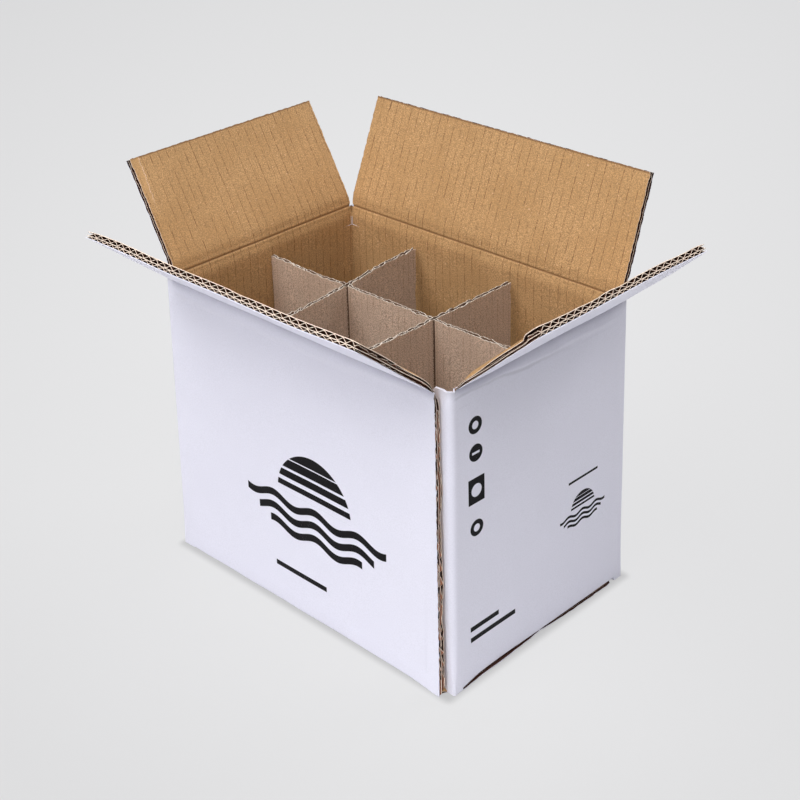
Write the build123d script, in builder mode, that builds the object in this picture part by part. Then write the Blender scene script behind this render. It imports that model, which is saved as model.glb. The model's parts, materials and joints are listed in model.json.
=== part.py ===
from build123d import *

import os
from math import cos, radians, sin, tan

# Bottle shipping box: a slotted case of double-wall corrugated board, its four top flaps standing open,
# with a slot-together partition of single-wall board inside. Millimetres, +Z up. +X runs along the long
# walls, the front wall faces -Y, and the origin is the middle of the base on the floor.

# Case
case_length = 285.0  # over the end walls, along X
case_width = 197.0  # over the long walls, along Y
crease_height = 241.0  # floor to the mean level of the four top creases
top_seam = 6.8  # between the free edges of the two long flaps when they are closed
flap_lean = {"front": 52.9, "back": 20.6, "left": 27.4, "right": 46.5}  # degrees outward of upright
bottom_seam = 0.5  # between the free edges of the two outer bottom flaps
bottom_layer_gap = 0.5  # between the outer and the inner bottom flaps
slot_clear = 0.8  # between a flap's side edge and the corner beside it
corner_radius = 3.0  # outside of the upright corners
fold_radius = 3.0  # outside of the bottom folds
corner_lift = 1.0  # the upright corners end this far above the floor
corner_drop = 1.5  # and this far below the mean level of the creases

# Double-wall board, named from the white outside to the brown inside
outer_liner = 0.5
small_rise = 2.0
middle_liner = 0.45
large_rise = 2.75
inner_liner = 0.5
small_pitch = 6.4
large_pitch = 7.8
flute_web = 0.45  # thickness of a fluted sheet
open_edge = 1.6  # how deep the cut flutes stand open along a side edge
edge_margin = 3.0  # plain board between a side edge and the first closed flute

# Top creases: each flap turns on a crushed round nose that sits in a seat along the wall's top edge
nose_radius = 1.5
seat_gap = 0.3
bevel_gap = 0.25  # from the crease axis to each inner bevel
level_gap = 0.3  # between the closed outer flaps and the closed inner flaps
shoulder = 7.0  # length over which the board is crushed on the outside of a crease
shoulder_round = 6.0
crush_margin = 1.0  # uncut board between a shoulder and the ends of the flutes

# Maker's joint: a tab on the right wall is glued behind the front wall, which ends in a raw edge
raw_edge_inset = 6.5  # the raw edge stops this far short of the right wall's face
tab_width = 36.0
tab_slope = 15.0  # degrees, both ends of the tab
tab_end_gap = 9.0  # from the tab's ends to the creases above and the fold below

# Partition: single-wall board
divider_liner = 0.4
divider_rise = 2.2
divider_pitch = 6.4
divider_web = 0.4
divider_drop = 15.1  # from the mean level of the creases down to the dividers' top edges
long_divider_play = 13.6  # a divider is this much shorter than the space between its two walls
cross_divider_play = 14.6
left_gap = 0.3  # the partition has slid until the long divider all but meets the left wall
back_gap = 4.0  # and the cross dividers come this near to the back wall
cell_pitch = 90.0  # between the two cross dividers
left_divider_skew = 5.0  # degrees, how far the left cross divider has turned in its slot
slot_play = 1.2  # a slot is this much wider than the board it takes

board = outer_liner + small_rise + middle_liner + large_rise + inner_liner
half_board = board / 2
level_step = (board + level_gap) / 2
small_centre = half_board - outer_liner - small_rise / 2
large_centre = -half_board + inner_liner + large_rise / 2
divider_board = 2 * divider_liner + divider_rise

up = Vector(0, 0, 1)
half_length = case_length / 2
half_width = case_width / 2
flap_height = half_width - half_board - top_seam / 2  # from a crease axis to the free edge


class Wall:
    """One wall of the case: where it stands, what it folds into, and how its top flap leans.

    Stations along the wall run in the direction outward x up, measured from the middle of the case.
    """

    def __init__(self, name, outward, distance, is_outer, start, end):
        self.name = name
        self.outward = Vector(*outward)
        self.along = self.outward.cross(up)
        self.distance = distance
        self.start = start
        self.end = end
        # the long walls carry the outer flaps, so their folds lie outside those of the end walls
        self.fold_level = 0.0 if is_outer else board + bottom_layer_gap
        self.crease_level = crease_height + (level_step if is_outer else -level_step)
        self.bottom_reach = distance - half_board - bottom_seam / 2 if is_outer else flap_height
        self.lean = radians(flap_lean[name])

    def middle(self, station=0.0, level=0.0):
        """A point on the middle plane of the wall's board."""
        return self.outward * (self.distance - half_board) + self.along * station + up * level

    def side_plane(self, station):
        """Across the wall at a station: x outward, y up."""
        return Plane(self.middle(station), x_dir=self.outward, z_dir=self.along)

    def flap_axes(self):
        """The flap's direction away from the crease, and its outer face's direction."""
        rise = self.outward * sin(self.lean) + up * cos(self.lean)
        return rise, self.outward * cos(self.lean) - up * sin(self.lean)


walls = [
    Wall("front", (0, -1, 0), half_width, True, raw_edge_inset - half_length, half_length - board),
    Wall("back", (0, 1, 0), half_width, True, board - half_length, half_length - board),
    Wall("left", (-1, 0, 0), half_length, False, board - half_width, half_width - board),
    Wall("right", (1, 0, 0), half_length, False, board - half_width, half_width - 2 * board),
]
front, back, left, right = walls


def flap_span(wall):
    """First and last station of the wall's flap: clear of the corners, but flush with the raw edge."""
    first = wall.start if wall is front else wall.start + slot_clear
    return first, wall.end - slot_clear


def bottom_flap_span(wall):
    """First and last station of the bottom flap, inside the neighbouring walls."""
    return wall.start + slot_clear, wall.end - slot_clear


def flute_openings(middle, length, pitch, rise, centre, web):
    """Cut ends of one fluted sheet: upright and inverted triangles in turn, in a row along X."""
    count = max(1, int(length / pitch - 0.5))
    half_base = pitch / 2 - web
    for sign in (-1, 1):
        with Locations((middle + sign * pitch / 4, centre)):
            with GridLocations(pitch, 1, count, 1):
                Polygon(
                    (-half_base, sign * rise / 2),
                    (half_base, sign * rise / 2),
                    (0, sign * (web - rise / 2)),
                    align=None,
                )


def cut_open_edge(plane, length):
    """Two grooves between the liners, where a cut along the flutes leaves them open."""
    with BuildSketch(plane) as grooves:
        with Locations((0, small_centre)):
            Rectangle(length, small_rise)
        with Locations((0, large_centre)):
            Rectangle(length, large_rise)
    extrude(grooves.sketch, amount=-open_edge, mode=Mode.SUBTRACT)


def make_wall(wall):
    """A wall with its bottom flap folded in and the crushed seat for its top flap, as one profile."""
    crease = wall.crease_level
    floor = wall.fold_level
    bevel = half_board + bevel_gap * 2**0.5
    with BuildSketch(wall.side_plane(wall.start)) as profile:
        with BuildLine():
            Polyline(
                (-half_board, floor + board),
                (-half_board, crease - bevel),
                (0, crease - bevel + half_board),
                (0, crease),
                (half_board, crease - shoulder),
                (half_board, floor),
                (-half_board, floor),
                close=True,
            )
        make_face()
        fillet(vertices().group_by(Axis.X)[-1].sort_by(Axis.Y)[-1], shoulder_round)
        fillet(vertices().group_by(Axis.X)[-1].sort_by(Axis.Y)[0], fold_radius)
        with Locations((0, crease)):
            Circle(nose_radius + seat_gap, mode=Mode.SUBTRACT)
    extrude(profile.sketch, amount=wall.end - wall.start)
    first, last = bottom_flap_span(wall)
    with BuildSketch(wall.side_plane(first)) as bottom_flap:
        with Locations((0, floor)):
            Rectangle(wall.bottom_reach, board, align=(Align.MAX, Align.MIN))
    extrude(bottom_flap.sketch, amount=last - first)
    if wall in (front, back):
        for station, side in ((first, -1), (last, 1)):
            centre = wall.middle(station, floor + half_board) - wall.outward * wall.bottom_reach / 2
            plane = Plane(centre, x_dir=wall.outward * -side, z_dir=wall.along * side)
            cut_open_edge(plane, wall.bottom_reach - board)


def make_corners():
    """The four upright folds. The one beside the raw edge is set back by the front wall's board."""
    bottom, top = corner_lift, crease_height - corner_drop
    for x, y in ((-1, -1), (-1, 1), (1, 1), (1, -1)):
        set_back = board if (x, y) == (1, -1) else 0.0
        with BuildSketch(Plane.XY.offset(bottom)) as corner:
            with Locations((x * (half_length - half_board), y * (half_width - half_board - set_back))):
                Rectangle(board, board)
            outer = vertices().sort_by(Axis((0, 0, 0), (x, y, 0)))[-1]
            fillet(outer, corner_radius)
        extrude(corner.sketch, amount=top - bottom)


with BuildPart() as case_body:
    for wall in walls:
        make_wall(wall)
    make_corners()

    # the glued tab, behind the front wall
    tab_low = right.fold_level + board + tab_end_gap
    tab_high = right.crease_level - tab_end_gap
    tab_fall = (tab_width + half_board) * tan(radians(tab_slope))
    tab_root = half_length - half_board
    tab_tip = half_length - board - tab_width
    with BuildSketch(Plane.XZ.offset(half_width - board)):
        Polygon(
            (tab_root, tab_low),
            (tab_root, tab_high),
            (tab_tip, tab_high - tab_fall),
            (tab_tip, tab_low + tab_fall),
            align=None,
        )
    extrude(amount=-board)

    # the raw edge of the front wall shows its three liners
    raw_low, raw_high = board, front.crease_level - shoulder
    raw_plane = Plane(
        front.middle(front.start, (raw_low + raw_high) / 2), x_dir=up, z_dir=-front.along
    )
    cut_open_edge(raw_plane, raw_high - raw_low)

case_body.part.label = "case_body"


def make_flap(wall):
    """A top flap: fluted board with a crushed root, standing at the lean it has when left open."""
    rise, outer_face = wall.flap_axes()
    first, last = flap_span(wall)
    length = last - first
    axis_point = wall.middle(first, wall.crease_level)
    bevel = half_board + bevel_gap * 2**0.5
    with BuildPart() as flap:
        with BuildSketch(Plane(axis_point, x_dir=outer_face, z_dir=wall.along)):
            with BuildLine():
                Polyline(
                    (-half_board, flap_height),
                    (-half_board, bevel),
                    (0, bevel - half_board),
                    (0, 0),
                    (half_board, shoulder),
                    (half_board, flap_height),
                    close=True,
                )
            make_face()
            fillet(vertices().group_by(Axis.X)[-1].sort_by(Axis.Y)[0], shoulder_round)
            Circle(nose_radius)
        extrude(amount=length)
        free_edge = axis_point + wall.along * length / 2 + rise * flap_height
        closed_length = length - 2 * edge_margin
        with BuildSketch(Plane(free_edge, x_dir=wall.along, z_dir=rise)):
            flute_openings(0, closed_length, small_pitch, small_rise, small_centre, flute_web)
            flute_openings(0, closed_length, large_pitch, large_rise, large_centre, flute_web)
            for side in (-1, 1):
                for height, centre in ((small_rise, small_centre), (large_rise, large_centre)):
                    with Locations((side * (length - open_edge) / 2, centre)):
                        Rectangle(open_edge, height)
        extrude(amount=-(flap_height - shoulder - crush_margin), mode=Mode.SUBTRACT)
    flap.part.label = "flap_" + wall.name
    return flap.part


flaps = [make_flap(wall) for wall in walls]

# Partition
partition_floor = right.fold_level + board
divider_height = crease_height - divider_drop - partition_floor
half_height = divider_height / 2
long_divider_length = case_length - 2 * board - long_divider_play
cross_divider_length = case_width - 2 * board - cross_divider_play
partition_x = left_gap - long_divider_play / 2
partition_y = cross_divider_play / 2 - back_gap


def make_divider(label, centre, turn, length, slots, slots_open_up):
    """An upright divider of fluted board, turned about Z, with a half-height slot at each station."""
    slot_width = divider_board + slot_play
    plane = Plane(
        (centre[0], centre[1], partition_floor),
        x_dir=(cos(radians(turn)), sin(radians(turn)), 0),
        z_dir=(0, 0, 1),
    )
    with BuildPart() as divider:
        with BuildSketch(plane):
            Rectangle(length, divider_board)
        extrude(amount=divider_height)
        ends = (-length / 2, *slots, length / 2)
        with BuildSketch(plane):
            for low, high in zip(ends, ends[1:]):
                clear_length = high - low - 2 * edge_margin
                flute_openings(
                    (low + high) / 2, clear_length, divider_pitch, divider_rise, 0, divider_web
                )
        extrude(amount=divider_height, mode=Mode.SUBTRACT)
        with BuildSketch(plane.offset(half_height if slots_open_up else 0.0)):
            for station in slots:
                with Locations((station, 0)):
                    Rectangle(slot_width, divider_board)
        extrude(amount=half_height, mode=Mode.SUBTRACT)
    divider.part.label = label
    return divider.part


dividers = [
    make_divider(
        "divider_long",
        (partition_x, partition_y),
        0.0,
        long_divider_length,
        (-cell_pitch / 2, cell_pitch / 2),
        True,
    ),
    make_divider(
        "divider_cross_left",
        (partition_x - cell_pitch / 2, partition_y),
        90.0 + left_divider_skew,
        cross_divider_length,
        (0.0,),
        False,
    ),
    make_divider(
        "divider_cross_right",
        (partition_x + cell_pitch / 2, partition_y),
        90.0,
        cross_divider_length,
        (0.0,),
        False,
    ),
]

os.makedirs("parts", exist_ok=True)
for piece in [case_body.part, *flaps, *dividers]:
    export_step(piece, f"parts/{piece.label}.step")
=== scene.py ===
"""Dresses an open slotted shipping box: double-wall board with real flutes, folds and torn edges,
a slot-together partition, printed marks, and a pale stage. Lengths are metres, +Z is up."""

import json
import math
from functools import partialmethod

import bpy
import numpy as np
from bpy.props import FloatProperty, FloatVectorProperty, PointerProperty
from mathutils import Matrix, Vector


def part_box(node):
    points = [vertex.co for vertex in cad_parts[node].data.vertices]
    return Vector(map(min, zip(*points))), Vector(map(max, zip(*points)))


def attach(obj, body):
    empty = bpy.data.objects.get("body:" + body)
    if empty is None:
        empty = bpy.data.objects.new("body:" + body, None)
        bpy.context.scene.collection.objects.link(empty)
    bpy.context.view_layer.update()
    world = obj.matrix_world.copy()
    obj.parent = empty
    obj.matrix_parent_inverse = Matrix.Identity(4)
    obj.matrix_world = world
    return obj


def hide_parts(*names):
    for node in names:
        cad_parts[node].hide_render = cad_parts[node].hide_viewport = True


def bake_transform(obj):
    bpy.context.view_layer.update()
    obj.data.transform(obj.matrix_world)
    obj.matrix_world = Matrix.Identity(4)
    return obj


bl_info = {
    "name": "Slotted Shipping Box",
    "version": (1, 0, 0),
    "blender": (4, 5, 0),
    "location": "3D View > Sidebar > Shipping Box",
    "description": "Builds the board, folds, partition and finishes of an open corrugated box",
    "category": "Object",
}

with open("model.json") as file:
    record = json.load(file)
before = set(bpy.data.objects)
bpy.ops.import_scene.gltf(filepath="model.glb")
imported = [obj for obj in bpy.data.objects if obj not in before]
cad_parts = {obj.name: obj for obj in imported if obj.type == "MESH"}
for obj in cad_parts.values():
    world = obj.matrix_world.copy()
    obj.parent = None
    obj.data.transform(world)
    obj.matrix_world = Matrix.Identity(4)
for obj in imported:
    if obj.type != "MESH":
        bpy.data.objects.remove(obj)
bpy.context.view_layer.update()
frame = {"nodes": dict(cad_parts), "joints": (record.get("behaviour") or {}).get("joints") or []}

MM = 0.001
TAU = 2 * math.pi
UP = np.array([0.0, 0.0, 1.0])
SHARPEST = 0.35 * MM  # radius of the inner face where a fold is tight
BUCKLE_NEAR = 4.5 * MM  # from a crease down to the buckle's crest, by the glued corner
BUCKLE_DROP, BUCKLE_RUN = 6.5 * MM, 130 * MM  # how much further down it gets, over what length
crease_axes = {joint["child"]: joint["pos_m"] for joint in frame["joints"]}
case_low, case_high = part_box("case_body")
mean_crease = sum(place[2] for place in crease_axes.values()) / len(crease_axes)


def size(name, default, description):
    """A length, given in millimetres."""
    return FloatProperty(
        name=name, default=default * MM, description=description, unit="LENGTH", precision=5
    )


def angle(name, default, description):
    """An angle, given in degrees."""
    return FloatProperty(
        name=name, default=math.radians(default), description=description, subtype="ANGLE"
    )


def power(name, default, description):
    return FloatProperty(name=name, default=default, description=description, unit="POWER")


def fraction(name, default, description):
    return FloatProperty(
        name=name, default=default, description=description, subtype="FACTOR", min=0, max=1
    )


def paint(name, default, description):
    """A colour, given as it looks on screen in whole steps from 0 to 255."""
    linear = [channel / 12.92 if channel <= 0.04045 else ((channel + 0.055) / 1.055) ** 2.4
              for channel in (step / 255 for step in default)]
    return FloatVectorProperty(
        name=name, default=linear, description=description, subtype="COLOR", min=0, max=1
    )


class CaseSettings(bpy.types.PropertyGroup):
    """Outside sizes of the case, its folds and how its walls stand."""

    length: size("Length", (case_high.x - case_low.x) / MM, "Over the end walls")
    width: size("Width", (case_high.y - case_low.y) / MM, "Over the long walls")
    crease: size("Crease height", mean_crease / MM, "From the floor to the top creases")
    rim_draw: size("Rim draw", 0.8, "How far each wall leans in at the creases")
    right_spread: size("Right wall spread", 3.2, "How far the right wall stands out at the floor")
    left_spread: size("Left wall spread", 5.6, "How far the left wall stands out at the floor")
    long_spread: size("Long wall spread", 2.0, "How far the long walls stand out at the floor")
    long_dome: size("Long wall dome", 0.9, "How far the long walls bulge")
    end_dome: size("End wall dome", 0.7, "How far the end walls bulge")
    skew: size("Front wall skew", 2.6, "How much further the front wall stands out at its raw end")
    raw_slant: size("Raw edge slant", 2.8, "Run of the raw edge: out at the floor, back at the top")
    corner: size("Corner radius", 2.4, "Outside radius of the upright folds")
    near_corner: size("Glued corner radius", 5.0, "Outside radius of the fold by the glued tab")
    fold: size("Fold radius", 1.8, "Outside radius of the bottom folds")
    band: size("Crease band", 16.0, "How far below a crease its flap's own sheet begins")
    foot: size("Foot band", 14.0, "Height at which the bottom flaps' own sheets begin")
    corner_top: size("Corner top", 1.6, "How far below the creases the upright folds end")
    corner_lift: size("Corner lift", 0.15, "How far above the floor the upright folds end")
    toe: size("Corner toe", 3.6, "How far the glued corner's foot stands out further")
    end_lift: size("End wall lift", 2.7, "Gap below an end wall, above that of its corners")
    end_flare: size("Flap end flare", 1.0, "How far a bottom flap's outer liner stands out")
    end_flap: size("Bottom end flap", 92.0, "Length of the bottom's end flaps")
    seam: size("Bottom seam", 0.5, "Gap between the bottom's long flaps")
    raw_strip: size("Raw strip", 10.0, "Length of front wall built sheet by sheet at its raw edge")
    tab_width: size("Tab width", 36.0, "Of the tab glued behind the front wall")
    tab_slope: angle("Tab slope", 15.0, "Of the tab's ends")


class BoardSettings(bpy.types.PropertyGroup):
    """Double-wall board of the case, from the white outside to the brown inside."""

    outer_liner: size("Outer liner", 0.5, "Thickness")
    small_rise: size("Small flute height", 2.0, "Between the outer and the middle liner")
    middle_liner: size("Middle liner", 0.45, "Thickness")
    large_rise: size("Large flute height", 2.75, "Between the middle and the inner liner")
    inner_liner: size("Inner liner", 0.5, "Thickness")
    small_pitch: size("Small flute pitch", 6.4, "From flute to flute")
    large_pitch: size("Large flute pitch", 7.8, "From flute to flute")
    web: size("Fluted paper", 0.42, "Thickness of a fluted sheet")
    open_side: size("Open side", 1.8, "How far the fluted sheets stop short of a side edge")
    ragged: size("Ragged edge", 0.25, "How uneven a cut edge is")


class FlapSettings(bpy.types.PropertyGroup):
    """The four top flaps as they stand open."""

    height: size("Flap height", 91.5, "From a crease to the free edge")
    reach: size("Fold reach", 3.6, "How far each side of a crease the board bends")
    splay: size("End splay", 3.2, "How far the rear flaps' ends run out above the crease, at most")
    front: angle("Front lean", 51.3, "Outward of upright")
    back: angle("Back lean", 21.9, "Outward of upright")
    left: angle("Left lean", 29.0, "Outward of upright")
    right: angle("Right lean", 48.5, "Outward of upright")


class WearSettings(bpy.types.PropertyGroup):
    """Unevenness, bends and crushed spots of the board."""

    unevenness: size("Wall unevenness", 0.22, "Height of the walls' long waves")
    draw: size("Crease draw", 1.7, "How far the white liner is drawn in at a crease")
    buckle: size("Crease buckle", 0.62, "Height of the buckle below a crease")
    warp: size("Flap warp", 0.7, "How far a flap bends from flat")
    bottom_bow: size("Bottom bow", 2.6, "How far the bottom lifts at its seam")
    crush: fraction("Crease crush", 0.34, "How much thinner the board is along a crease")
    dents: fraction("Edge dents", 0.12, "How much thinner the board is at its sides and dents")
    glued_crush: fraction("Glued corner crush", 0.72, "How much thinner it is by the glued corner")
    glued_press: fraction("Pressed end", 0.42, "How much thinner the right flap's near end is")
    sharpening: fraction("Sharp foot", 0.65, "How much smaller the upright folds' radius is below")


class PartitionSettings(bpy.types.PropertyGroup):
    """Single-wall board of the slot-together partition."""

    liner: size("Liner", 0.42, "Thickness")
    rise: size("Flute height", 2.2, "Between the liners")
    pitch: size("Flute pitch", 6.4, "From flute to flute")
    web: size("Fluted paper", 0.36, "Thickness of the fluted sheet")
    open_side: size("Open side", 0.8, "How far the fluted sheet stops short of a side edge")
    ragged: size("Ragged edge", 0.5, "How uneven the torn top edge is")
    slot_play: size("Slot play", 2.6, "A slot is this much wider than the board in it")
    warp: size("Warp", 1.6, "How far a divider bows from flat")


class FinishSettings(bpy.types.PropertyGroup):
    """Colours of the papers and the print."""

    white: paint("White liner", (233, 232, 245), "Coated paper outside")
    kraft: paint("Brown liner", (208, 166, 117), "Inside of the case and flaps")
    kraft_dark: paint("Brown liner, dark", (197, 155, 106), "Cloudy patches of the brown liner")
    # this dark brown draws the flute lines and specks, and also painted shade at creases, free
    # edges, the nick and the divider slots
    lines_and_painted_shade: paint("Flute lines", (116, 82, 54), "Pressed lines and the creases")
    # partly painted shade: this tone is far darker than the liners' own brown, for the shade
    # between the sheets and under the walls
    inside: paint("Inner faces", (62, 37, 30), "Liners as seen between the flutes")
    fluting: paint("Fluted paper", (162, 106, 82), "Waves between the liners")
    cut: paint("Cut edge", (255, 228, 210), "Fibres of a cut or torn edge")
    grey: paint("Divider paper", (219, 195, 176), "Recycled paper of the partition")
    grey_dark: paint("Divider paper, dark", (205, 181, 162), "Cloudy patches of the partition")
    grey_inside: paint("Divider inside", (122, 98, 82), "Between the sheets of the partition")
    torn: paint("Torn divider edge", (248, 236, 222), "Fibres along the partition's top")
    ink: paint("Ink", (6, 3, 7), "Printed marks")


class StageSettings(bpy.types.PropertyGroup):
    """Camera, lamps and floor."""

    camera_place: FloatVectorProperty(
        name="Camera place", default=(0.7442, -0.7450, 0.7240), subtype="TRANSLATION",
        unit="LENGTH", description="Where the camera stands",
    )
    camera_turn: angle("Camera azimuth", 44.708, "Turned from looking along +Y towards -X")
    camera_tip: angle("Camera elevation", 27.318, "Looking down")
    camera_roll: angle("Camera roll", -1.512, "About the line of sight")
    focal_pixels: FloatProperty(
        name="Focal length", default=1575.5, description="In pixels of a frame 800 pixels wide"
    )
    raise_pixels: FloatProperty(
        name="Centre offset", default=40.0, description="Line of sight above the centre, in pixels"
    )
    floor: paint("Floor", (228, 228, 229), "Floor and background")
    key_energy: power("Key lamp", 55.8, "Above and in front")
    side_energy: power("Side lamp", 28.5, "Above, to the right")
    front_energy: power("Front lamp", 24.5, "Low in front")
    back_energy: power("Back lamp", 51.8, "High behind")
    evenness: fraction("Evenness", 0.9, "How much of the seen floor is its own tone, without lamps")
    # painted shadow and light on the floor: the contact shade darkens it along the box's foot, and
    # near tone and falloff make it lighter at the box and darker far away
    painted_contact_shadow: fraction("Contact shade", 0.28, "Deepest shade of the floor along the box's foot")
    lift: fraction("Near tone", 0.06, "How much lighter than its colour the floor is at the box")
    falloff: fraction("Falloff", 0.07, "How much darker than its colour the floor is far away")
    sky: FloatProperty(name="Sky", default=0.02, description="Strength of the even light")


def smooth_ramp(x):
    """3x^2 - 2x^3 from 0 to 1, and level outside."""
    x = np.clip(x, 0.0, 1.0)
    return x * x * (3.0 - 2.0 * x)


def bell(x):
    """exp(-x^2)."""
    return np.exp(-np.square(x))


def ripple(x, y, wavelength, seed):
    """Smooth unevenness, mostly between -1 and 1.

    Ten plane waves are summed, with seeded headings, lengths near wavelength and phases.
    """
    waves = 10
    random = np.random.default_rng(seed)
    heading = random.uniform(0, TAU, waves)
    length = wavelength * random.uniform(0.6, 1.7, waves)
    phase = random.uniform(0, TAU, waves)
    x, y = np.broadcast_arrays(np.asarray(x, float), np.asarray(y, float))
    total = np.zeros(x.shape)
    for turn, wave, start in zip(heading, length, phase):
        total += np.cos((x * math.cos(turn) + y * math.sin(turn)) * TAU / wave + start)
    return total / 3.6


def spaced(first, last, step):
    """Evenly spaced values from first to last, no further apart than step."""
    count = max(1, math.ceil(abs(last - first) / step - 1e-6))
    return np.linspace(first, last, count + 1)


def merged(*runs):
    """Several runs of values as one rising row, without near doubles."""
    values = np.sort(np.concatenate(runs))
    return values[np.concatenate(([True], np.diff(values) > 1e-6))]


class Piece:
    """Gathers closed sheets of board and makes them one mesh object."""

    def __init__(self):
        self.points = []
        self.coordinates = []
        self.faces = []
        self.slots = []
        self.count = 0

    def add_sheet(self, outer, inner, board_uv, slots, keep=None):
        """Closes the space between two grids of points.

        outer and inner are (n, m, 3) arrays, and keep marks the cells that exist. slots are the
        material numbers of the outer face, the inner face, the rims at the ends across, and the
        rims at the ends along where these differ. Each kept cell gives a face on both grids, and
        each edge between a kept cell and none gives a rim face between the grids.
        """
        rows, columns = outer.shape[:2]
        total = rows * columns
        index = np.arange(total).reshape(rows, columns)
        if keep is None:
            keep = np.ones((rows - 1, columns - 1), bool)
        corners = index[:-1, :-1], index[1:, :-1], index[1:, 1:], index[:-1, 1:]
        cells = np.stack(corners, -1)[keep]
        padded = np.pad(keep, 1)
        rims = []
        for grid, kept, turn in ((index, padded, 1), (index.T, padded.T, -1)):
            before, after = kept[1:-1, :-1], kept[1:-1, 1:]
            near, far = (grid[:-1], grid[1:])[::turn]
            for at, first, second in (
                (after & ~before, far, near), (before & ~after, near, far)
            ):
                edge = [first[at], second[at]]
                rims.append(np.stack([*edge, edge[1] + total, edge[0] + total], -1))
        rim = np.concatenate(rims)
        faces = np.concatenate([cells, cells[:, ::-1] + total, rim])
        used, faces = np.unique(faces, return_inverse=True)
        uv = np.broadcast_to(board_uv, (rows, columns, 2)).reshape(-1, 2)
        self.points.append(np.concatenate([outer.reshape(-1, 3), inner.reshape(-1, 3)])[used])
        self.coordinates.append(np.concatenate([uv, uv])[used])
        self.faces.append(faces.reshape(-1, 4) + self.count)
        ends = len(rims[0]) + len(rims[1])
        counts = [len(cells), len(cells), ends, len(rim) - ends]
        self.slots.append(np.repeat((*slots, slots[2])[:4], counts))
        self.count += len(used)

    def build(self, name, materials):
        """The mesh object, with the board's own coordinates as its UV map, in metres."""
        points = np.concatenate(self.points)
        faces = np.concatenate(self.faces)
        mesh = bpy.data.meshes.new(name)
        mesh.from_pydata(points, [], faces)
        layer = mesh.uv_layers.new(name="Board")
        layer.data.foreach_set("uv", np.concatenate(self.coordinates)[faces].ravel())
        for material in materials:
            mesh.materials.append(material)
        mesh.polygons.foreach_set("material_index", np.concatenate(self.slots).astype(np.int32))
        mesh.polygons.foreach_set("use_smooth", np.ones(len(faces), bool))
        mesh.set_sharp_from_angle(angle=math.radians(38))
        mesh.update()
        piece = bpy.data.objects.new(name, mesh)
        bpy.context.scene.collection.objects.link(piece)
        return piece


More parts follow.
